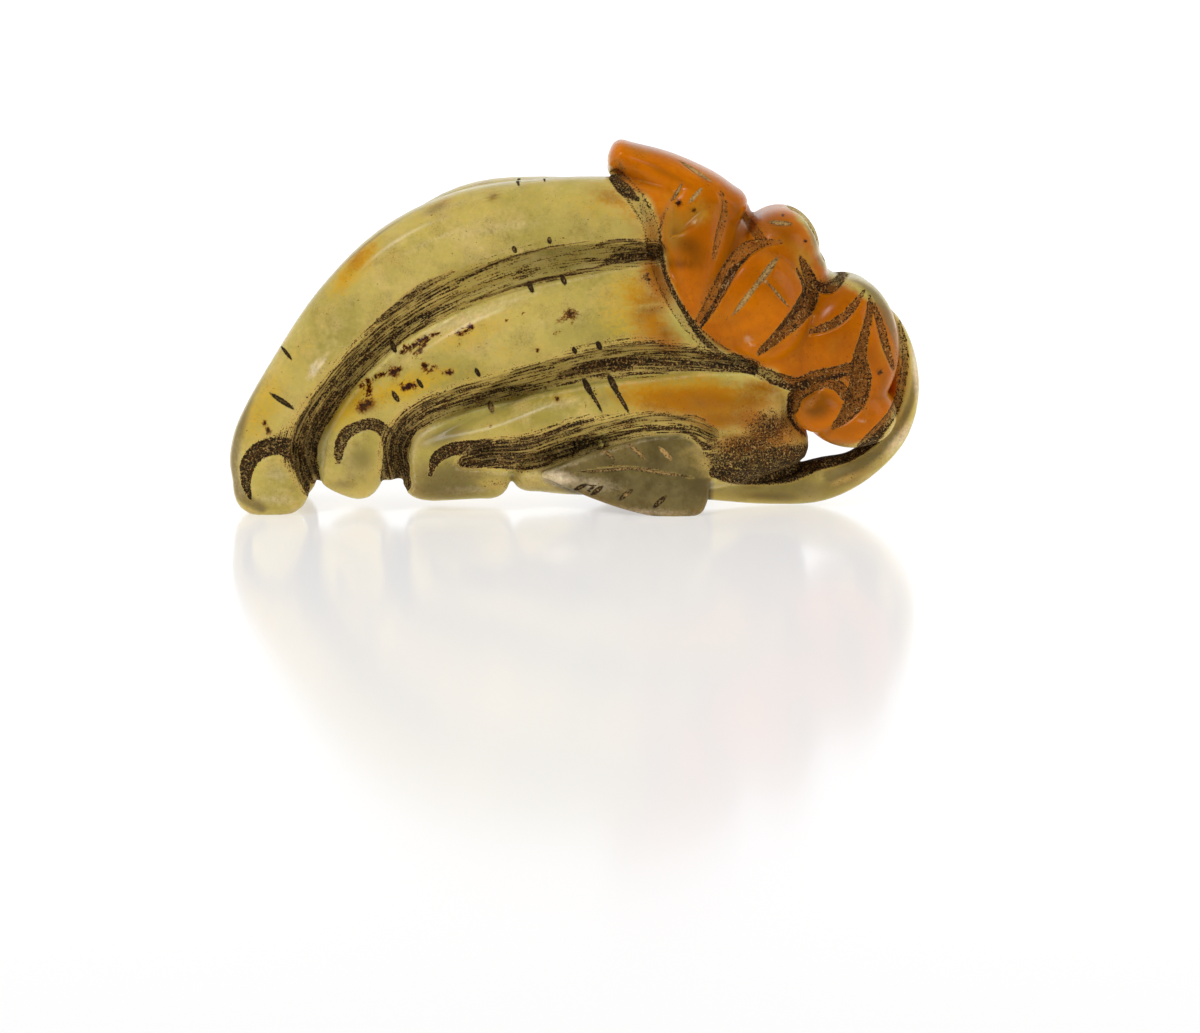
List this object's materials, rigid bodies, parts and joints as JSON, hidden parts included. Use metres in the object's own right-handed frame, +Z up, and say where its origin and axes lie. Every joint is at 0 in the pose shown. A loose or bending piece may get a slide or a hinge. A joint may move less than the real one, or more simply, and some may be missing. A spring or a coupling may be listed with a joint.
{
  "type": "carved citron pendant",
  "caption": "Small stone pendant carved as a finger citron with curled petals, a leaf and a looping stem, standing on its finger tips.",
  "frame": {"origin": "middle of the bounding box, at the height of the ground that the pendant stands on", "axes": "+X from the finger tips to the stem, +Y from the front to the back, +Z up"},
  "size_m": [0.0622, 0.0172, 0.0333],
  "materials": {
    "chalcedony": "polished translucent stone, yellow-green with orange petals and dark soil in the cuts"
  },
  "bodies": {
    "root": {"citron_pendant": "chalcedony"}
  },
  "joints": []
}
